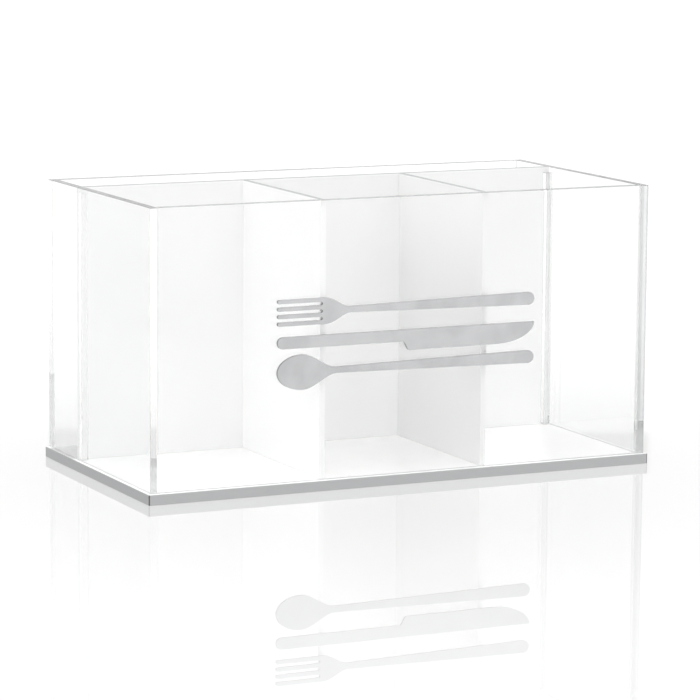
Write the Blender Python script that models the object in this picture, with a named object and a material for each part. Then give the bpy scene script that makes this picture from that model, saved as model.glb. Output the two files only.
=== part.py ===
"""Clear open-top flatware caddy.

Four clear acrylic walls stand on a silver base plate that is a little larger than the box. A white lengthwise
panel parts off a narrow rear slot, with a clear square rod at each end in front of it, and white cross dividers
part the front into equal compartments. A thin silver fork, knife and spoon are glued flat on the front wall.

Metres, +Z up, +X along the length, front wall towards -Y. The origin is the middle of the base's underside.
"""

import math

import bmesh
import bpy
from mathutils import Vector

# Clear box: outside length and depth, and the cut height and thickness of its walls.
BOX_LENGTH = 0.305
BOX_DEPTH = 0.1525
WALL_HEIGHT = 0.1542
WALL_THICKNESS = 0.00475

# Base plate, which shows all round the foot of the walls.
BASE_THICKNESS = 0.006
BASE_OVERHANG = 0.0018

# White panels inside: the lengthwise one leaves the rear slot behind it.
PANEL_THICKNESS = 0.0032
REAR_SLOT_DEPTH = 0.0361
FRONT_COMPARTMENTS = 3

# Clear square rods that hold the partition's ends from the front, and how far below the rim they stop.
GUIDE_ROD_WIDTH = 0.0036
GUIDE_ROD_DROP = 0.0033

# Glued joints and the eased edges of cut sheet.
GLUE_GAP = 0.0003
EDGE_EASE = 0.0004
EASE_STEPS = 2
ACRYLIC_IOR = 1.49

# Silver cutlery shapes on the front wall, lying along it one above the other.
EMBLEM_THICKNESS = 0.0015
EMBLEM_LENGTH = 0.158
EMBLEM_PITCH = 0.0165
EMBLEM_CENTRE_HEIGHT = 0.0835
HANDLE_END_WIDTH = 0.0072
HANDLE_NECK_WIDTH = 0.0034
FORK_HEAD_LENGTH = 0.044
FORK_HEAD_WIDTH = 0.0145
FORK_TINE_LENGTH = 0.026
FORK_TINE_WIDTH = 0.0022
FORK_TINES = 4
SPOON_BOWL_LENGTH = 0.036
SPOON_BOWL_WIDTH = 0.0195
KNIFE_BLADE_LENGTH = 0.082
KNIFE_BLADE_WIDTH = 0.0115
KNIFE_GRIP_WIDTH = 0.0066

# How much of a head its shoulders take, how far along the bowl is widest, and how much of a blade is tip.
SHOULDER_SHARE = 0.34
BOWL_WIDEST_SHARE = 0.58
BLADE_TIP_SHARE = 0.3

# Outline points in a quarter turn or an S-curve, and how near two points count as one.
ROUND_STEPS = 8
SAME_POINT = 0.00005

SHARP_ANGLE = math.radians(35)


def clear_scene():
    """Removes whatever the open file holds."""
    for obj in list(bpy.data.objects):
        bpy.data.objects.remove(obj, do_unlink=True)


def finish(name, colour, roughness, metallic=0.0, transmission=0.0):
    """One Principled material."""
    material = bpy.data.materials.new(name)
    material.use_nodes = True
    shader = material.node_tree.nodes["Principled BSDF"]
    shader.inputs["Base Color"].default_value = (*colour, 1.0)
    shader.inputs["Roughness"].default_value = roughness
    shader.inputs["Metallic"].default_value = metallic
    shader.inputs["Transmission Weight"].default_value = transmission
    shader.inputs["IOR"].default_value = ACRYLIC_IOR
    material.diffuse_color = (*colour, 1.0)
    return material


def link(name, mesh, material, parent, location):
    """A named object that holds the mesh, on the shared parent."""
    obj = bpy.data.objects.new(name, mesh)
    obj.data.materials.append(material)
    obj.location = location
    obj.parent = parent
    bpy.context.scene.collection.objects.link(obj)
    return obj


def panel(name, low, high, material, parent):
    """A flat sheet between two opposite corners, with its cut edges eased."""
    low, high = Vector(low), Vector(high)
    size = high - low
    shape = bmesh.new()
    bmesh.ops.create_cube(shape, size=1.0)
    bmesh.ops.scale(shape, vec=size, verts=shape.verts)
    mesh = bpy.data.meshes.new(name)
    shape.to_mesh(mesh)
    shape.free()
    obj = link(name, mesh, material, parent, low + size / 2)
    ease = obj.modifiers.new("eased_edges", "BEVEL")
    ease.width = EDGE_EASE
    ease.segments = EASE_STEPS
    ease.limit_method = "ANGLE"
    ease.angle_limit = SHARP_ANGLE


def build_base(half_length, half_depth, material, parent):
    """The silver plate under the whole box."""
    reach_x = half_length + BASE_OVERHANG
    reach_y = half_depth + BASE_OVERHANG
    panel("base_plate", (-reach_x, -reach_y, 0), (reach_x, reach_y, BASE_THICKNESS), material, parent)


def build_walls(half_length, half_depth, foot, rim, material, parent):
    """The side walls run the full depth, and the front and back walls are glued between them."""
    for name, side in (("left_wall", -1), ("right_wall", 1)):
        faces = sorted((side * half_length, side * (half_length - WALL_THICKNESS)))
        panel(name, (faces[0], -half_depth, foot), (faces[1], half_depth, rim), material, parent)
    reach = half_length - WALL_THICKNESS - GLUE_GAP
    for name, side in (("front_wall", -1), ("back_wall", 1)):
        faces = sorted((side * half_depth, side * (half_depth - WALL_THICKNESS)))
        panel(name, (-reach, faces[0], foot), (reach, faces[1], rim), material, parent)


def build_partition(inner_x, inner_y, foot, rim, material, parent):
    """The lengthwise white panel in front of the rear slot. Returns the place of its front face."""
    back = inner_y - REAR_SLOT_DEPTH
    front = back - PANEL_THICKNESS
    reach = inner_x - GLUE_GAP
    panel("rear_partition", (-reach, front, foot), (reach, back, rim), material, parent)
    return front


def build_guide_rods(inner_x, partition_face, foot, rim, material, parent):
    """A clear square rod in each corner between a side wall and the partition's front face."""
    back = partition_face - GLUE_GAP
    reach = inner_x - GLUE_GAP
    top = rim - GUIDE_ROD_DROP
    for name, side in (("left_guide_rod", -1), ("right_guide_rod", 1)):
        faces = sorted((side * reach, side * (reach - GUIDE_ROD_WIDTH)))
        panel(name, (faces[0], back - GUIDE_ROD_WIDTH, foot), (faces[1], back, top), material, parent)


def build_dividers(inner_x, front, back, foot, rim, material, parent):
    """White cross panels, evenly spaced between the side walls."""
    count = FRONT_COMPARTMENTS - 1
    width = (2 * inner_x - count * PANEL_THICKNESS) / FRONT_COMPARTMENTS
    for index in range(count):
        left = -inner_x + (index + 1) * width + index * PANEL_THICKNESS
        panel(
            f"cross_divider_{index + 1}",
            (left, front + GLUE_GAP, foot),
            (left + PANEL_THICKNESS, back - GLUE_GAP, rim),
            material,
            parent,
        )


def arc(centre, radius, start, end, steps=ROUND_STEPS):
    """Points on a circular arc, both ends included; the angles are in degrees."""
    angles = [math.radians(start + (end - start) * step / steps) for step in range(steps + 1)]
    return [(centre[0] + radius * math.cos(angle), centre[1] + radius * math.sin(angle)) for angle in angles]


def swell(start, end, low, high):
    """An S-curve from one half width to the next, both ends included."""
    points = []
    for step in range(ROUND_STEPS + 1):
        share = step / ROUND_STEPS
        ease = (1 - math.cos(math.pi * share)) / 2
        points.append((start + (end - start) * share, low + (high - low) * ease))
    return points


def mirrored(upper):
    """The same side below the middle line, walked back the other way."""
    return [(along, -across) for along, across in reversed(upper)]


def without_repeats(points):
    """Leaves out a point that lies on the one before it."""
    return [point for index, point in enumerate(points) if math.dist(point, points[index - 1]) > SAME_POINT]


def handle_end(width):
    """The round end of a handle, walked from its lower side to its upper one."""
    radius = width / 2
    return arc((radius, 0), radius, 270, 90)


def fork_outline():
    """Handle, shoulders and round-ended tines, with the handle's end at zero."""
    shoulder = EMBLEM_LENGTH - FORK_HEAD_LENGTH
    roots = EMBLEM_LENGTH - FORK_TINE_LENGTH
    neck = swell(shoulder, shoulder + SHOULDER_SHARE * FORK_HEAD_LENGTH, HANDLE_NECK_WIDTH / 2, FORK_HEAD_WIDTH / 2)
    tine_radius = FORK_TINE_WIDTH / 2
    pitch = (FORK_HEAD_WIDTH - FORK_TINE_WIDTH) / (FORK_TINES - 1)
    slot_radius = (pitch - FORK_TINE_WIDTH) / 2
    tines = []
    for index in range(FORK_TINES):
        middle = FORK_HEAD_WIDTH / 2 - tine_radius - index * pitch
        tines += arc((EMBLEM_LENGTH - tine_radius, middle), tine_radius, 90, -90)
        if index < FORK_TINES - 1:
            tines += arc((roots, middle - pitch / 2), slot_radius, 90, 270)
    return handle_end(HANDLE_END_WIDTH) + neck + tines + mirrored(neck)


def spoon_outline():
    """Handle and an egg-shaped bowl, widest past its middle."""
    start = EMBLEM_LENGTH - SPOON_BOWL_LENGTH
    widest = start + BOWL_WIDEST_SHARE * SPOON_BOWL_LENGTH
    neck = swell(start, widest, HANDLE_NECK_WIDTH / 2, SPOON_BOWL_WIDTH / 2)
    tip = []
    for along, across in arc((0, 0), 1, 90, 0, 2 * ROUND_STEPS):
        tip.append((widest + along * (EMBLEM_LENGTH - widest), across * SPOON_BOWL_WIDTH / 2))
    side = neck + tip
    return handle_end(HANDLE_END_WIDTH) + side + mirrored(side)


def knife_outline():
    """A straight grip and back, and a blade that swells below the grip and rounds up to its tip."""
    heel = EMBLEM_LENGTH - KNIFE_BLADE_LENGTH
    back = KNIFE_GRIP_WIDTH / 2
    edge = back - KNIFE_BLADE_WIDTH
    tip_start = EMBLEM_LENGTH - BLADE_TIP_SHARE * KNIFE_BLADE_LENGTH
    tip = []
    for along, across in arc((0, 0), 1, 0, -90, 2 * ROUND_STEPS):
        tip.append((tip_start + along * (EMBLEM_LENGTH - tip_start), back + across * KNIFE_BLADE_WIDTH))
    belly = swell(heel, heel + SHOULDER_SHARE * KNIFE_BLADE_WIDTH, -back, edge)
    return handle_end(KNIFE_GRIP_WIDTH) + tip + belly[::-1]


def emblem(name, outline, height, turned, material, parent, wall_face):
    """One flat silver shape on the front wall, its length centred on the wall."""
    shape = bmesh.new()
    corners = [shape.verts.new((along - EMBLEM_LENGTH / 2, 0, across)) for along, across in without_repeats(outline)]
    face = shape.faces.new(corners)
    raised = bmesh.ops.extrude_face_region(shape, geom=[face])["geom"]
    moved = [part for part in raised if isinstance(part, bmesh.types.BMVert)]
    bmesh.ops.translate(shape, vec=(0, -EMBLEM_THICKNESS, 0), verts=moved)
    bmesh.ops.recalc_face_normals(shape, faces=shape.faces)
    mesh = bpy.data.meshes.new(name)
    shape.to_mesh(mesh)
    shape.free()
    mesh.shade_smooth()
    mesh.set_sharp_from_angle(angle=SHARP_ANGLE)
    obj = link(name, mesh, material, parent, (0, wall_face - GLUE_GAP, height))
    obj.rotation_euler = (0, math.pi if turned else 0, 0)


def build_emblem(wall_face, material, parent):
    """Fork over knife over spoon, with the knife turned the other way."""
    rows = (
        ("emblem_fork", fork_outline(), EMBLEM_PITCH, True),
        ("emblem_knife", knife_outline(), 0, False),
        ("emblem_spoon", spoon_outline(), -EMBLEM_PITCH, True),
    )
    for name, outline, rise, turned in rows:
        emblem(name, outline, EMBLEM_CENTRE_HEIGHT + rise, turned, material, parent, wall_face)


def main():
    clear_scene()
    clear = finish("clear_acrylic", (0.97, 0.98, 0.98), 0.02, transmission=1.0)
    white = finish("white_acrylic", (0.93, 0.93, 0.93), 0.15)
    silver = finish("silver_mirror", (0.80, 0.81, 0.82), 0.06, metallic=1.0)

    caddy = bpy.data.objects.new("caddy", None)
    bpy.context.scene.collection.objects.link(caddy)

    half_length = BOX_LENGTH / 2
    half_depth = BOX_DEPTH / 2
    foot = BASE_THICKNESS + GLUE_GAP
    rim = foot + WALL_HEIGHT
    inner_x = half_length - WALL_THICKNESS
    inner_y = half_depth - WALL_THICKNESS

    build_base(half_length, half_depth, silver, caddy)
    build_walls(half_length, half_depth, foot, rim, clear, caddy)
    partition_face = build_partition(inner_x, inner_y, foot, rim, white, caddy)
    build_guide_rods(inner_x, partition_face, foot, rim, clear, caddy)
    build_dividers(inner_x, -inner_y, partition_face, foot, rim, white, caddy)
    build_emblem(-half_depth, silver, caddy)


main()
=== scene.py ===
"""Looks for a clear flatware caddy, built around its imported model.

The clear sheets and rods are real refracting solids. Where two of them are cemented together, both faces
carry a glue film that lets a ray go straight on, so the joint looks solid and shows only as a faint line.
The white insert is three sheets of its own, which stand on the base and meet the walls. The silver base and
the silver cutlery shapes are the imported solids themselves, with finishes.

Some of the photograph's light and shade is painted into the finishes by place, and shows from every side.

Metres, +Z up, +X along the length, front wall towards -Y.
"""

import logging
import math
from dataclasses import dataclass, field
from enum import Enum
from typing import Callable, Union

import bmesh
import bpy
from mathutils import Matrix, Vector


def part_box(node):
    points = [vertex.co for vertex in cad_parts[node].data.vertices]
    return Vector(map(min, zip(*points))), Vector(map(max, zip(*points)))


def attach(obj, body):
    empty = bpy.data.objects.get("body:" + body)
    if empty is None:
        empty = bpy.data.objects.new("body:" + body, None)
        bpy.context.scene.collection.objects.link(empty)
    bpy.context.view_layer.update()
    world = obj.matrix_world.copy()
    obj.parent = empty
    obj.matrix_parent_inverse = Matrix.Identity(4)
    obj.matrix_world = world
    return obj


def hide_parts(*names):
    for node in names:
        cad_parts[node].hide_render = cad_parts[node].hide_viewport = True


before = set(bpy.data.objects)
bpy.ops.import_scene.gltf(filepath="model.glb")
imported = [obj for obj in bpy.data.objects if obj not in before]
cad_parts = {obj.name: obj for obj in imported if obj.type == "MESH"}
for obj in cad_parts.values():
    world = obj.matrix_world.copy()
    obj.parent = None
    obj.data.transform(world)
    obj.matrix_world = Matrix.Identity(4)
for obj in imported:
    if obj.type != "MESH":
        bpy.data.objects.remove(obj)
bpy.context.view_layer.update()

log = logging.getLogger("caddy")

BODY = "root"
ACRYLIC_IOR = 1.49
EMBLEM_NODES = ("emblem_fork", "emblem_knife", "emblem_spoon")
EMBLEM_EASE = 0.0002

# How much of a face's normal lies along an axis before the face counts as looking along it
SQUARE_ON = 0.9

# The same for a shader's masks, as where the mask starts to rise and where it is full
FLAT_OVER = (0.6, 0.9)
TURNED_OVER = (0.3, 0.7)

Colour = tuple[float, float, float]
Span = tuple[float, float]
Corners = tuple[Vector, Vector]
EdgeTest = Callable[[Vector, Vector], bool]
Value = Union["Level", bpy.types.NodeSocket, float, tuple[float, ...]]


class Axis(Enum):
    """The axis that a flat face looks along."""

    X = 0
    Y = 1
    Z = 2


class Slot(Enum):
    """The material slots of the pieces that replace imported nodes."""

    CLEAR = "clear_acrylic"
    WHITE = "white_acrylic"


class Face(Enum):
    """The kinds of face on a cut sheet, in the order of its finishes."""

    CLEAR = 0
    CUT = 1
    CEMENTED = 2
    FOOT = 3


@dataclass(frozen=True)
class Grain:
    """How finely a noise is laid over a surface.

    Attributes:
        scale: Clouds per metre.
        detail: Octaves.
        stretch: How much finer the noise is along each axis.
    """

    scale: float
    detail: float
    stretch: tuple[float, float, float] = (1.0, 1.0, 1.0)


class Level:
    """A number that varies over a surface. Arithmetic on it adds Math nodes."""

    def __init__(self, graph: "Graph", socket: bpy.types.NodeSocket) -> None:
        """Wraps a socket.

        Args:
            graph: The node tree that the socket belongs to.
            socket: The output that gives the number.
        """
        self.graph = graph
        self.socket = socket

    def math(self, operation: str, first: Value, second: Value = 0.0) -> "Level":
        """Adds one Math node.

        Args:
            operation: The node's operation.
            first: Its first number.
            second: Its second number.

        Returns:
            The node's result.
        """
        node = self.graph.add("ShaderNodeMath", {"operation": operation}, {0: first, 1: second})
        return Level(self.graph, node.outputs[0])

    def __add__(self, other: Value) -> "Level":
        """Sum."""
        return self.math("ADD", self, other)

    __radd__ = __add__

    def __sub__(self, other: Value) -> "Level":
        """Difference."""
        return self.math("SUBTRACT", self, other)

    def __rsub__(self, other: Value) -> "Level":
        """Difference, with this number second."""
        return self.math("SUBTRACT", other, self)

    def __mul__(self, other: Value) -> "Level":
        """Product."""
        return self.math("MULTIPLY", self, other)

    __rmul__ = __mul__

    def __pow__(self, other: Value) -> "Level":
        """Power."""
        return self.math("POWER", self, other)

    def __gt__(self, other: Value) -> "Level":
        """One where this number is the larger, else zero."""
        return self.math("GREATER_THAN", self, other)

    def __abs__(self) -> "Level":
        """Size without its sign."""
        return self.math("ABSOLUTE", self)

    def ramp(self, low: float, high: float) -> "Level":
        """Rises smoothly from zero at low to one at high.

        Args:
            low: Where the rise starts.
            high: Where it ends.

        Returns:
            The share, between zero and one.
        """
        settings = {"interpolation_type": "SMOOTHSTEP", "clamp": True}
        values = {"Value": self, "From Min": low, "From Max": high}
        node = self.graph.add("ShaderNodeMapRange", settings, values)
        return Level(self.graph, node.outputs[0])


class Graph:
    """The node tree of one material, or of the world."""

    def __init__(self, tree: bpy.types.NodeTree) -> None:
        """Empties the tree.

        Args:
            tree: The tree to build in.
        """
        tree.nodes.clear()
        self.tree = tree

    def add(self, kind: str, settings: dict | None = None, values: dict | None = None) -> bpy.types.Node:
        """Adds one node.

        Args:
            kind: The node's type.
            settings: Its own settings, which are set first.
            values: A value or a link for each socket, by the socket's number, identifier or name.

        Returns:
            The node.
        """
        node = self.tree.nodes.new(kind)
        for name, setting in (settings or {}).items():
            setattr(node, name, setting)
        for key, value in (values or {}).items():
            socket = self.socket(node, key)
            if isinstance(value, Level):
                value = value.socket
            if isinstance(value, bpy.types.NodeSocket):
                self.tree.links.new(value, socket)
            elif isinstance(value, tuple) and socket.type == "RGBA":
                socket.default_value = (*value, 1.0)
            else:
                socket.default_value = value
        return node

    @staticmethod
    def socket(node: bpy.types.Node, key: int | str) -> bpy.types.NodeSocket:
        """Finds an input.

        Args:
            node: The node that has it.
            key: Its number, identifier or name.

        Returns:
            The input socket.
        """
        if isinstance(key, int):
            return node.inputs[key]
        for socket in node.inputs:
            if key == socket.identifier:
                return socket
        return node.inputs[key]

    def place(self) -> list[Level]:
        """The point being shaded, in the object's own metres along each axis."""
        return self.split(self.add("ShaderNodeTexCoord").outputs["Object"])

    def split(self, vector: bpy.types.NodeSocket) -> list[Level]:
        """The three parts of a vector, each as a number."""
        node = self.add("ShaderNodeSeparateXYZ", None, {"Vector": vector})
        return [Level(self, output) for output in node.outputs]

    def facing(self, axis: Axis) -> Level:
        """One where the true face looks along an axis, either way, and zero where it looks across it."""
        normal = self.add("ShaderNodeNewGeometry").outputs["True Normal"]
        return abs(self.split(normal)[axis.value])

    def noise(self, grain: Grain) -> Level:
        """Soft cloudy noise.

        Args:
            grain: How finely it is laid.

        Returns:
            A number around a half.
        """
        place = self.add("ShaderNodeTexCoord").outputs["Object"]
        mapping = self.add("ShaderNodeMapping", None, {"Vector": place, "Scale": grain.stretch})
        values = {"Vector": mapping.outputs[0], "Scale": grain.scale, "Detail": grain.detail}
        return Level(self, self.add("ShaderNodeTexNoise", None, values).outputs[0])

    def blend(self, share: Value, first: Value, second: Value) -> bpy.types.NodeSocket:
        """Mixes two colours.

        Args:
            share: How much of the second there is.
            first: The colour at zero.
            second: The colour at one.

        Returns:
            The mixed colour.
        """
        values = {"Factor_Float": share, "A_Color": first, "B_Color": second}
        return self.add("ShaderNodeMix", {"data_type": "RGBA"}, values).outputs[2]

    def relief(self, height: Value, depth: float) -> bpy.types.NodeSocket:
        """A bump.

        Args:
            height: The height, as a share of the depth.
            depth: The depth, in metres.

        Returns:
            The bent normal.
        """
        values = {"Height": height, "Distance": depth, "Strength": 1.0}
        return self.add("ShaderNodeBump", None, values).outputs[0]

    def surface(self, values: dict) -> None:
        """Adds a Principled shader, with a value or a link for each of its sockets, as the surface."""
        shader = self.add("ShaderNodeBsdfPrincipled", None, values)
        self.add("ShaderNodeOutputMaterial", None, {"Surface": shader.outputs[0]})


class Finish:
    """Something that a piece is finished in."""

    name: str
    tone: Colour

    def material(self) -> bpy.types.Material:
        """Builds the material, once.

        Returns:
            The material, or the one that was built before under the finish's name.
        """
        known = bpy.data.materials.get(self.name)
        if known:
            return known
        made = bpy.data.materials.new(self.name)
        made.use_nodes = True
        made.diffuse_color = (*self.tone, 1.0)
        self.mix(Graph(made.node_tree))
        return made

    def mix(self, graph: Graph) -> None:
        """Adds the finish's nodes to a material's tree."""
        raise NotImplementedError


@dataclass(frozen=True)
class ClearAcrylic(Finish):
    """Cast clear sheet with its factory polish: a faint waviness, and hairline wiping marks."""

    name: str = "clear_cast_acrylic"
    tone: Colour = (0.97, 0.98, 0.98)
    clear: Colour = (1.0, 1.0, 1.0)
    tint: Colour = (0.995, 0.998, 0.997)
    # Painted shade on the faces that look along X, which makes the side walls look a little darker.
    painted_side_shade: Colour = (0.93, 0.935, 0.935)
    wiping: Grain = Grain(90.0, 4.0, (1.0, 1.0, 6.0))
    wiping_over: Span = (0.55, 0.8)
    wiping_roughness: float = 0.002
    waves: Grain = Grain(14.0, 1.0)
    wave_depth: float = 0.0000004

    def mix(self, graph: Graph) -> None:
        """Adds the finish's nodes.

        Args:
            graph: The material's node tree.
        """
        marks = graph.noise(self.wiping).ramp(*self.wiping_over)
        wiped = graph.blend(marks, self.clear, self.tint)
        graph.surface(
            {
                # The faces that look along X get the painted shade.
                "Base Color": graph.blend(graph.facing(Axis.X).ramp(*FLAT_OVER), wiped, self.painted_side_shade),
                "Roughness": marks * self.wiping_roughness,
                "Transmission Weight": 1.0,
                "IOR": ACRYLIC_IOR,
                "Normal": graph.relief(graph.noise(self.waves), self.wave_depth),
            }
        )


@dataclass(frozen=True)
class ClearRod(ClearAcrylic):
    """The left rod, which hardly shows."""

    name: str = "clear_rod_acrylic"
    # Almost none of the painted side shade, so the rod hardly shows.
    painted_side_shade: Colour = (0.99, 0.99, 0.99)


@dataclass(frozen=True)
class CutEdge(Finish):
    """The sawn and polished edge of clear sheet: a little tinted, with fine lines along the cut.

    The rims are darker with painted shade, most of all on the side walls, and the right wall's upright ends
    carry painted shade too.
    """

    name: str = "polished_cut_edge"
    tone: Colour = (0.80, 0.83, 0.83)
    light: Colour = (0.957, 0.959, 0.959)
    dark: Colour = (0.952, 0.955, 0.955)
    # Painted shade: on the right wall's upright ends, on the rims, and darker still on the side walls'
    # rims.
    painted_shade_upright_end: Colour = (0.60, 0.61, 0.61)
    rim: Colour = (0.39, 0.40, 0.40)
    painted_shade_side_rim: Colour = (0.22, 0.225, 0.225)
    side_from: float = 0.1478
    saw: Grain = Grain(60.0, 3.0, (1.0, 1.0, 4.0))
    saw_over: Span = (0.3, 0.7)
    saw_roughness: float = 0.002
    saw_depth: float = 0.0000001

    def mix(self, graph: Graph) -> None:
        """Adds the finish's nodes.

        Args:
            graph: The material's node tree.
        """
        lines = graph.noise(self.saw)
        polished = graph.blend(lines.ramp(*self.saw_over), self.dark, self.light)
        sideways = graph.place()[Axis.X.value]
        # Painted shade on the right wall's upright ends, then on the rims, most of all on the side walls.
        upright = graph.blend(sideways > self.side_from, polished, self.painted_shade_upright_end)
        level = graph.blend(abs(sideways) > self.side_from, self.rim, self.painted_shade_side_rim)
        graph.surface(
            {
                "Base Color": graph.blend(graph.facing(Axis.Z).ramp(*TURNED_OVER), upright, level),
                "Roughness": lines * self.saw_roughness,
                "Transmission Weight": 1.0,
                "IOR": ACRYLIC_IOR,
                "Normal": graph.relief(lines, self.saw_depth),
            }
        )


@dataclass(frozen=True)
class GlueFilm(Finish):
    """Solvent cement between two cemented faces: clear, with a faint grey cloud where it thins out."""

    name: str = "cement_film"
    tone: Colour = (0.5, 0.5, 0.5)
    grey: Colour = (0.60, 0.61, 0.61)
    roughness: float = 0.5
    cloud: Grain = Grain(70.0, 4.0)
    cloud_over: Span = (0.35, 0.75)
    thin: float = 0.0
    thick: float = 0.04

    def mix(self, graph: Graph) -> None:
        """Adds the finish's nodes.

        Args:
            graph: The material's node tree.
        """
        cloud = graph.noise(self.cloud).ramp(*self.cloud_over)
        graph.surface(
            {
                "Base Color": self.grey,
                "Roughness": self.roughness,
                "Alpha": cloud * (self.thick - self.thin) + self.thin,
            }
        )


@dataclass(frozen=True)
class FootFilm(GlueFilm):
    """The cement under the walls, which takes up some of the light that comes down inside a sheet."""

    name: str = "cement_film_at_the_foot"
    grey: Colour = (0.75, 0.76, 0.76)
    thin: float = 0.15
    thick: float = 0.35


@dataclass(frozen=True)
class WhiteAcrylic(Finish):
    """Opaque white gloss sheet: very faint clouds, hairline wiping marks, and duller sawn edges.

    The faces that look along X can be shaded lower down.
    """

    name: str = "white_gloss_acrylic"
    tone: Colour = (0.93, 0.93, 0.93)
    face: Colour = (0.855, 0.855, 0.855)
    cloud: Colour = (0.84, 0.84, 0.84)
    shaded: Colour = (0.855, 0.855, 0.855)
    shaded_over: Span = (0.09, 0.155)
    sawn: Colour = (0.32, 0.325, 0.33)
    clouds: Grain = Grain(18.0, 2.0)
    clouds_over: Span = (0.3, 0.7)
    wiping: Grain = Grain(140.0, 5.0, (1.0, 1.0, 5.0))
    wiping_roughness: float = 0.05
    wiping_depth: float = 0.000004
    roughness: float = 0.10
    sawn_roughness: float = 0.45

    def mix(self, graph: Graph) -> None:
        """Adds the finish's nodes.

        Args:
            graph: The material's node tree.
        """
        edge = graph.facing(Axis.Z).ramp(*TURNED_OVER)
        marks = graph.noise(self.wiping)
        clouded = graph.blend(graph.noise(self.clouds).ramp(*self.clouds_over), self.face, self.cloud)
        low = 1 - graph.place()[Axis.Z.value].ramp(*self.shaded_over)
        faces = graph.blend(low * graph.facing(Axis.X), clouded, self.shaded)
        duller = edge * (self.sawn_roughness - self.roughness)
        graph.surface(
            {
                "Base Color": graph.blend(edge, faces, self.sawn),
                "Roughness": marks * self.wiping_roughness + duller + self.roughness,
                "IOR": ACRYLIC_IOR,
                "Normal": graph.relief(marks, self.wiping_depth),
            }
        )


@dataclass(frozen=True)
class PaintedLightWhite(WhiteAcrylic):
    """The first divider's sheet, a shade brighter."""

    name: str = "painted_light_white_gloss_acrylic"
    # Painted light: the same white sheet, with its colours made lighter all over.
    face: Colour = (0.91, 0.91, 0.91)
    cloud: Colour = (0.90, 0.90, 0.90)
    shaded: Colour = (0.91, 0.91, 0.91)


@dataclass(frozen=True)
class ShadedWhite(WhiteAcrylic):
    """The second divider's sheet, which is greyer lower down."""

    name: str = "shaded_white_gloss_acrylic"
    shaded: Colour = (0.75, 0.75, 0.75)


@dataclass(frozen=True)
class SilverSheet(Finish):
    """Silver sheet: a bright gloss face over metal flake, and plain grey cut edges with fine saw lines.

    The face is greyer inside the rear slot and the side edges are darker than the front one, both painted
    shade, and the upright corners are dark lines of painted shade.
    """

    name: str = "pale_silver_sheet"
    tone: Colour = (0.70, 0.70, 0.70)
    bright: Colour = (0.86, 0.86, 0.86)
    hazy: Colour = (0.83, 0.83, 0.83)
    # Painted shade inside the rear slot.
    slot: Colour = (0.50, 0.50, 0.50)
    slot_from: float = 0.0354
    slot_to: float = 0.0715
    cut: Colour = (0.43, 0.435, 0.44)
    # Painted shade: the side edges darker than the front one, and dark lines down the upright corners.
    side_cut: Colour = (0.32, 0.325, 0.33)
    corner: Colour = (0.10, 0.10, 0.10)
    corner_at: Span = (0.1537, 0.0774)
    face_axis: Axis = Axis.Z
    metal: float = 0.2
    haze: Grain = Grain(60.0, 4.0)
    haze_over: Span = (0.35, 0.7)
    haze_roughness: float = 0.02
    saw: Grain = Grain(120.0, 4.0, (4.0, 4.0, 14.0))
    saw_depth: float = 0.00003
    face_roughness: float = 0.03
    cut_roughness: float = 0.32

    def mix(self, graph: Graph) -> None:
        """Adds the finish's nodes.

        Args:
            graph: The material's node tree.
        """
        face = graph.facing(self.face_axis).ramp(*FLAT_OVER)
        haze = graph.noise(self.haze).ramp(*self.haze_over)
        lines = graph.noise(self.saw)
        sideways, back = graph.place()[:2]
        # Painted shade: greyer inside the rear slot, darker side edges, and dark lines down the upright
        # corners.
        in_slot = (back > self.slot_from) * (1 - (back > self.slot_to))
        bright = graph.blend(in_slot, graph.blend(haze, self.bright, self.hazy), self.slot)
        at_corner = (abs(sideways) > self.corner_at[0]) * (abs(back) > self.corner_at[1])
        cut = graph.blend(graph.facing(Axis.X).ramp(*TURNED_OVER), self.cut, self.side_cut)
        cut = graph.blend(at_corner, cut, self.corner)
        smoother = face * (self.face_roughness - self.cut_roughness)
        graph.surface(
            {
                "Base Color": graph.blend(face, cut, bright),
                "Metallic": face * self.metal,
                "IOR": ACRYLIC_IOR,
                "Roughness": haze * self.haze_roughness + smoother + self.cut_roughness,
                "Normal": graph.relief(lines * (1 - face), self.saw_depth),
            }
        )


@dataclass(frozen=True)
class SilverTrim(SilverSheet):
    """The cut shapes on the front wall, whose faces look along Y. They lie nowhere near the slot."""

    name: str = "silver_trim_sheet"
    bright: Colour = (0.54, 0.545, 0.55)
    hazy: Colour = (0.48, 0.485, 0.49)
    cut: Colour = (0.16, 0.165, 0.17)
    side_cut: Colour = (0.16, 0.165, 0.17)
    slot_from: float = 1.0
    face_axis: Axis = Axis.Y
    metal: float = 0.8
    face_roughness: float = 0.12


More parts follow.
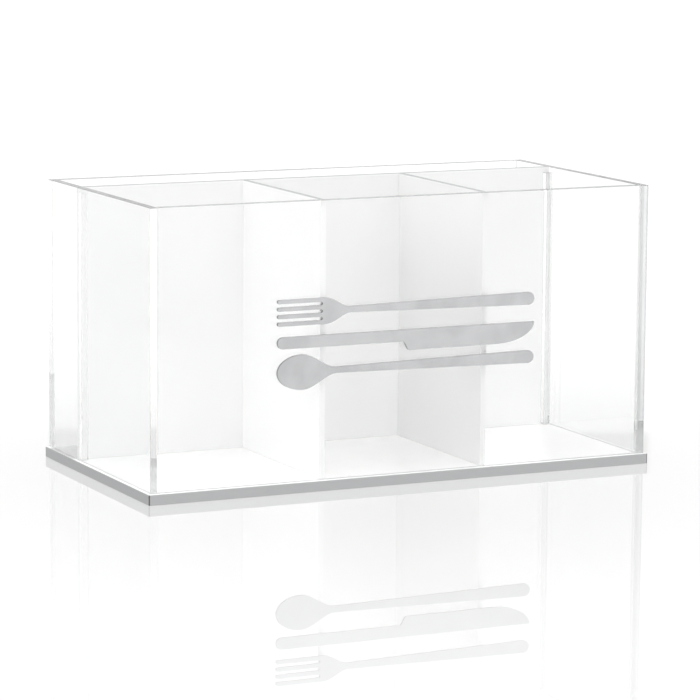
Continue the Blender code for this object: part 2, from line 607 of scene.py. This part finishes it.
@dataclass(frozen=True)
class StudioFloor(Finish):
    """A plain white gloss table top, which glows a little, and more so further from the caddy."""

    name: str = "studio_floor"
    tone: Colour = (0.95, 0.95, 0.95)
    white: Colour = (0.105, 0.105, 0.105)
    off_white: Colour = (0.10, 0.10, 0.10)
    glow_near: Colour = (0.53, 0.53, 0.53)
    glow_far: Colour = (0.69, 0.69, 0.69)
    glow_over: Span = (0.12, 0.5)
    clouds: Grain = Grain(3.0, 2.0)
    clouds_over: Span = (0.3, 0.7)
    cloud_roughness: float = 0.002
    coat: float = 0.4
    ior: float = 1.45

    def mix(self, graph: Graph) -> None:
        """Adds the finish's nodes.

        Args:
            graph: The material's node tree.
        """
        clouds = graph.noise(self.clouds).ramp(*self.clouds_over)
        across, along_y = graph.place()[:2]
        far = ((across * across + along_y * along_y) ** 0.5).ramp(*self.glow_over)
        graph.surface(
            {
                "Base Color": graph.blend(clouds, self.white, self.off_white),
                "Roughness": clouds * self.cloud_roughness,
                "IOR": self.ior,
                "Coat Weight": self.coat,
                "Coat Roughness": 0.0,
                "Coat IOR": self.ior,
                "Emission Color": graph.blend(far, self.glow_near, self.glow_far),
                "Emission Strength": 1.0,
            }
        )


def along(axis: Axis, length: float) -> Vector:
    """Makes a vector that lies along an axis.

    Args:
        axis: The axis.
        length: The vector's length.

    Returns:
        The vector.
    """
    vector = Vector((0, 0, 0))
    vector[axis.value] = length
    return vector


@dataclass
class CutSheet:
    """A flat sheet or bar, sawn square, with its open edges eased and its faces sorted by finish.

    Attributes:
        name: The piece's name.
        low: Its lowest corner.
        high: Its highest corner.
        thin_axis: The axis that the sheet is thin along.
        eased: Says whether an edge, given by its two ends, is eased.
        glued: Says whether a face, given by its middle and normal, is cemented to a neighbour. Without it,
            the sheet has one finish all over.
        cuts: Places where extra edges run round the sheet, as an axis and a place.
        ease: How far back from the corner the easing starts.
        ease_steps: How many faces go round an eased edge.
        sharp: The least angle between two faces, in radians, whose edge may be eased.
        finishes: The finishes, one for each kind of face.
        slot: The material slot. It is not used.
    """

    name: str
    low: Vector
    high: Vector
    thin_axis: Axis
    eased: EdgeTest
    glued: EdgeTest | None = None
    cuts: list[tuple[Axis, float]] = field(default_factory=list)
    ease: float = 0.0004
    ease_steps: int = 3
    sharp: float = 1.0
    finishes: tuple[Finish, ...] = (ClearAcrylic(), CutEdge(), GlueFilm(), FootFilm())
    slot: Slot = Slot.CLEAR

    def kind(self, face: bmesh.types.BMFace) -> Face:
        """Tells which kind a face is.

        Args:
            face: A face of the sheet.

        Returns:
            Its kind.
        """
        if self.glued is None:
            return Face.CLEAR
        if self.glued(face.calc_center_median(), face.normal):
            return Face.FOOT if face.normal.z < -SQUARE_ON else Face.CEMENTED
        return Face.CUT if abs(face.normal[self.thin_axis.value]) < SQUARE_ON else Face.CLEAR

    def mesh(self) -> bpy.types.Mesh:
        """Builds the sheet.

        Returns:
            A closed mesh whose material indices give each face's kind.
        """
        shape = bmesh.new()
        bmesh.ops.create_cube(shape, size=1.0)
        bmesh.ops.scale(shape, vec=self.high - self.low, verts=shape.verts)
        bmesh.ops.translate(shape, vec=(self.low + self.high) / 2, verts=shape.verts)
        for axis, place in self.cuts:
            everything = [*shape.verts, *shape.edges, *shape.faces]
            point, normal = along(axis, place), along(axis, 1)
            bmesh.ops.bisect_plane(shape, geom=everything, plane_co=point, plane_no=normal)
        sharp = [edge for edge in shape.edges if edge.calc_face_angle(0) > self.sharp]
        edges = [edge for edge in sharp if self.eased(*(vert.co for vert in edge.verts))]
        steps = self.ease_steps
        bmesh.ops.bevel(shape, geom=edges, offset=self.ease, segments=steps, affect="EDGES", profile=0.5)
        bmesh.ops.recalc_face_normals(shape, faces=shape.faces)
        for face in shape.faces:
            face.material_index = self.kind(face).value
        mesh = bpy.data.meshes.new(self.name)
        shape.to_mesh(mesh)
        shape.free()
        return mesh

    def piece(self, replaced: str) -> bpy.types.Object:
        """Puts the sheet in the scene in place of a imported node.

        Args:
            replaced: The node that it stands for.

        Returns:
            The piece.
        """
        obj = bpy.data.objects.new(self.name, self.mesh())
        bpy.context.scene.collection.objects.link(obj)
        for finish in self.finishes:
            obj.data.materials.append(finish.material())
        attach(obj, BODY)
        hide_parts(replaced)
        return obj


@dataclass
class ClearBox:
    """The four clear walls and the two guide rods that are cemented to the side walls.

    Attributes:
        contact: The hairline that is left between faces that touch.
        rod_ease: How far back the rods' easing starts.
        near: How close two places are when they count as the same.
        pieces: What was built.
    """

    contact: float = 0.00005
    rod_ease: float = 0.00025
    near: float = 0.00002
    pieces: list[bpy.types.Object] = field(default_factory=list)

    def build(self) -> None:
        """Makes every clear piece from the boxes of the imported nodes."""
        left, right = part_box("left_wall"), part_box("right_wall")
        front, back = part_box("front_wall"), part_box("back_wall")
        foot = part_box("base_plate")[1].z + self.contact
        inner = (left[1].x, right[0].x)
        seats = (front[1].y, back[0].y)
        for name, corners, inward in (("left_wall", left, 1), ("right_wall", right, -1)):
            self.pieces.append(self.side_sheet(name, corners, inward, foot, seats))
        for name, corners in (("front_wall", front), ("back_wall", back)):
            self.pieces.append(self.cross_sheet(name, corners, inner, foot))
        for name, inward in (("left_guide_rod", 1), ("right_guide_rod", -1)):
            self.pieces.append(self.rod(name, inward, inner, foot))

    def side_sheet(
        self, name: str, corners: Corners, inward: int, foot: float, seats: Span
    ) -> bpy.types.Object:
        """A side wall, which runs the full depth of the box.

        Args:
            name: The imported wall.
            corners: Its corners.
            inward: One where the inside lies towards +X, else minus one.
            foot: The height of its underside.
            seats: Where the inner faces of the front and back walls meet it.

        Returns:
            The piece.
        """
        low, high = Vector((corners[0].x, corners[0].y, foot)), corners[1]
        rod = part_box(name.replace("wall", "guide_rod"))
        inner_face = high.x if inward > 0 else low.x
        rod_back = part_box("rear_partition")[0].y

        def eased(first: Vector, second: Vector) -> bool:
            """The rim."""
            return min(first.z, second.z) > high.z - self.near

        def glued(middle: Vector, normal: Vector) -> bool:
            """The foot, the strips where the cross walls end, and the strip behind the rod.

            Args:
                middle: The face's middle.
                normal: Its normal.

            Returns:
                Whether the face is cemented.
            """
            if normal.z < -SQUARE_ON:
                return True
            if abs(middle.x - inner_face) > self.near:
                return False
            under_wall = not seats[0] < middle.y < seats[1]
            under_rod = rod[0].y < middle.y < rod_back and middle.z < rod[1].z
            return under_wall or under_rod

        cuts = [(Axis.Y, place) for place in (*seats, rod[0].y, rod_back)]
        cuts.append((Axis.Z, rod[1].z))
        return CutSheet(name + "_sheet", low, high, Axis.X, eased, glued, cuts).piece(name)

    def cross_sheet(self, name: str, corners: Corners, inner: Span, foot: float) -> bpy.types.Object:
        """The front or back wall, which ends on the inner faces of the side walls.

        Args:
            name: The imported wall.
            corners: Its corners.
            inner: The places of the side walls' inner faces.
            foot: The height of its underside.

        Returns:
            The piece.
        """
        low = Vector((inner[0], corners[0].y, foot))
        high = Vector((inner[1], corners[1].y, corners[1].z))

        def eased(first: Vector, second: Vector) -> bool:
            """The two long edges of the rim."""
            return min(first.z, second.z) > high.z - self.near and abs(first.x - second.x) > self.near

        def glued(middle: Vector, normal: Vector) -> bool:
            """The foot and both ends."""
            return normal.z < -SQUARE_ON or abs(normal.x) > SQUARE_ON

        return CutSheet(name + "_sheet", low, high, Axis.Y, eased, glued).piece(name)

    def rod(self, name: str, inward: int, inner: Span, foot: float) -> bpy.types.Object:
        """A square rod, cemented to its side wall. The left one is clear on every face.

        Args:
            name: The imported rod.
            inward: One where the inside lies towards +X, else minus one.
            inner: The places of the side walls' inner faces.
            foot: The height of its underside.

        Returns:
            The piece.
        """
        low, high = (corner.copy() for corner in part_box(name))
        low.z = foot
        high.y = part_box("rear_partition")[0].y - self.contact
        if inward > 0:
            low.x = wall_face = inner[0]
            open_finishes = (ClearRod(), ClearRod())
        else:
            high.x = wall_face = inner[1]
            open_finishes = (ClearAcrylic(), CutEdge())

        def eased(first: Vector, second: Vector) -> bool:
            """Every edge that isn't at the wall or the foot."""
            at_wall = max(abs(first.x - wall_face), abs(second.x - wall_face)) < self.near
            return not at_wall and max(first.z, second.z) > foot + self.near

        def glued(middle: Vector, normal: Vector) -> bool:
            """The foot and the face on the wall."""
            return normal.z < -SQUARE_ON or abs(middle.x - wall_face) < self.near

        bar = CutSheet(name + "_bar", low, high, Axis.X, eased, glued, ease=self.rod_ease)
        bar.finishes = (*open_finishes, GlueFilm(), FootFilm())
        return bar.piece(name)


@dataclass
class WhiteInsert:
    """The rear partition and the two cross dividers, which stand on the base and meet the walls.

    Attributes:
        contact: The hairline that is left between faces that touch.
        pieces: What was built.
    """

    contact: float = 0.00005
    pieces: list[bpy.types.Object] = field(default_factory=list)

    def build(self) -> None:
        """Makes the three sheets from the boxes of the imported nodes."""
        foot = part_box("base_plate")[1].z + self.contact
        sides = (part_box("left_wall")[1].x + self.contact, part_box("right_wall")[0].x - self.contact)
        low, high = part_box("rear_partition")
        low, high = Vector((sides[0], low.y, foot)), Vector((sides[1], high.y, high.z))
        self.pieces.append(self.sheet("rear_partition", low, high, Axis.Y, WhiteAcrylic()))
        ends = (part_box("front_wall")[1].y + self.contact, low.y - self.contact)
        # The first divider's sheet has painted light, and the second has painted shade lower down.
        for name, finish in (("cross_divider_1", PaintedLightWhite()), ("cross_divider_2", ShadedWhite())):
            low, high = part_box(name)
            low, high = Vector((low.x, ends[0], foot)), Vector((high.x, ends[1], high.z))
            self.pieces.append(self.sheet(name, low, high, Axis.X, finish))

    def sheet(
        self, name: str, low: Vector, high: Vector, thin_axis: Axis, finish: Finish
    ) -> bpy.types.Object:
        """One white sheet.

        Args:
            name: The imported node.
            low: The sheet's lowest corner.
            high: Its highest corner.
            thin_axis: The axis that it is thin along.
            finish: What it is finished in.

        Returns:
            The piece.
        """

        def eased(first: Vector, second: Vector) -> bool:
            """The two long edges at the top."""
            at_top = min(first.z, second.z) > high.z - self.contact
            return at_top and first[thin_axis.value] == second[thin_axis.value]

        sheet = CutSheet(name + "_sheet", low, high, thin_axis, eased, finishes=(finish,), slot=Slot.WHITE)
        return sheet.piece(name)


@dataclass
class CarriedParts:
    """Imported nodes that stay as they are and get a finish.

    Attributes:
        nodes: Their names.
        finish: What they are finished in.
        ease: How far back an extra rounding of their edges starts, or zero for none.
        ease_steps: How many faces go round a rounded edge.
        sharp: The least angle between two faces whose edge is rounded.
    """

    nodes: tuple[str, ...]
    finish: Finish
    ease: float = 0.0
    ease_steps: int = 3
    sharp: float = math.radians(40)

    def dress(self) -> None:
        """Gives every node its finish."""
        for name in self.nodes:
            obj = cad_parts[name]
            obj.data.materials.clear()
            obj.data.materials.append(self.finish.material())
            if self.ease:
                rounding = obj.modifiers.new("rounded_edges", "BEVEL")
                rounding.width = self.ease
                rounding.segments = self.ease_steps
                rounding.limit_method = "ANGLE"
                rounding.angle_limit = self.sharp
            log.info("%s: %s", name, self.finish.name)


@dataclass(frozen=True)
class Card:
    """A grey patch far behind the caddy, placed by the upward part of the direction towards it.

    Attributes:
        low: Its lower edge.
        high: Its upper edge.
        share: How much of the card's grey there is in it.
    """

    low: float
    high: float
    share: float


@dataclass
class Studio:
    """A plain white table top in even light, and the camera."""

    floor_reach: float = 14.0
    overhead: Colour = (2.7, 2.7, 2.7)
    around: Colour = (0.96, 0.96, 0.96)
    overhead_over: Span = (0.65, 0.85)
    card_grey: Colour = (0.34, 0.34, 0.34)
    cards: tuple[Card, ...] = (Card(0.1045, 0.118, 0.2), Card(0.178, 0.189, 0.55))
    card_side: Span = (0.083, 0.086)
    card_blur: float = 0.001
    card_behind: float = 0.5
    lens: float = 180.845
    sensor: float = 36.0
    clip: Span = (0.01, 100.0)
    azimuth: float = math.radians(-25.698)
    elevation: float = math.radians(8.973)
    roll: float = math.radians(0.4534)
    place: tuple[float, float, float] = (-0.85960, -1.79065, 0.37764)
    bounces: int = 128
    diffuse_bounces: int = 20
    clear_bounces: int = 96
    film_bounces: int = 48

    def build_floor(self) -> None:
        """The table top."""
        shape = bmesh.new()
        bmesh.ops.create_grid(shape, x_segments=1, y_segments=1, size=self.floor_reach)
        mesh = bpy.data.meshes.new("studio_floor")
        shape.to_mesh(mesh)
        shape.free()
        floor = bpy.data.objects.new("studio_floor", mesh)
        floor.data.materials.append(StudioFloor().material())
        bpy.context.scene.collection.objects.link(floor)

    def build_light(self) -> None:
        """Even white light, brighter overhead, with two grey cards far behind the caddy."""
        world = bpy.data.worlds.new("studio_light")
        world.use_nodes = True
        bpy.context.scene.world = world
        graph = Graph(world.node_tree)
        east, north, up = graph.split(graph.add("ShaderNodeTexCoord").outputs["Generated"])
        colour = graph.blend(up.ramp(*self.overhead_over), self.around, self.overhead)
        sideways = east * math.cos(self.azimuth) + north * math.sin(self.azimuth)
        behind = north * math.cos(self.azimuth) - east * math.sin(self.azimuth)
        on_card = (behind > self.card_behind) * (1 - abs(sideways).ramp(*self.card_side))
        blur = self.card_blur
        for card in self.cards:
            rise = up.ramp(card.low - blur, card.low + blur)
            fall = up.ramp(card.high - blur, card.high + blur)
            colour = graph.blend((rise - fall) * on_card * card.share, colour, self.card_grey)
        light = graph.add("ShaderNodeBackground", None, {"Color": colour, "Strength": 1.0})
        graph.add("ShaderNodeOutputWorld", None, {"Surface": light.outputs[0]})

    def build_camera(self) -> None:
        """The camera at the photograph's place, with its small roll."""
        data = bpy.data.cameras.new("photo_camera")
        data.lens = self.lens
        data.sensor_width = self.sensor
        data.clip_start, data.clip_end = self.clip
        camera = bpy.data.objects.new("photo_camera", data)
        bpy.context.scene.collection.objects.link(camera)
        level = math.cos(self.elevation)
        east, north = -math.sin(self.azimuth) * level, math.cos(self.azimuth) * level
        ahead = Vector((east, north, -math.sin(self.elevation)))
        right = Vector((math.cos(self.azimuth), math.sin(self.azimuth), 0))
        above = right.cross(ahead)
        turned_right = right * math.cos(self.roll) + above * math.sin(self.roll)
        turned_up = above * math.cos(self.roll) - right * math.sin(self.roll)
        turn = Matrix((turned_right, turned_up, -ahead)).transposed().to_4x4()
        camera.matrix_world = Matrix.Translation(self.place) @ turn
        bpy.context.scene.camera = camera

    def set_light_paths(self) -> None:
        """Leaves enough bounces for light that runs down inside a sheet, and plain display colours."""
        scene = bpy.context.scene
        scene.view_settings.view_transform = "Standard"
        scene.cycles.max_bounces = self.bounces
        scene.cycles.diffuse_bounces = self.diffuse_bounces
        scene.cycles.transmission_bounces = self.clear_bounces
        scene.cycles.glossy_bounces = self.clear_bounces
        scene.cycles.transparent_max_bounces = self.film_bounces
        scene.cycles.blur_glossy = 0.0

    def build(self) -> None:
        """Makes the whole studio."""
        self.build_floor()
        self.build_light()
        self.build_camera()
        self.set_light_paths()


def main() -> None:
    """Builds the caddy's parts in order, and the studio around them."""
    logging.basicConfig(level=logging.INFO, format="%(name)s: %(message)s")
    box, insert = ClearBox(), WhiteInsert()
    box.build()
    insert.build()
    for piece in box.pieces + insert.pieces:
        log.info("%s: %d faces", piece.name, len(piece.data.polygons))
    CarriedParts(("base_plate",), SilverSheet()).dress()
    CarriedParts(EMBLEM_NODES, SilverTrim(), ease=EMBLEM_EASE).dress()
    Studio().build()


if __name__ == "__main__":
    main()
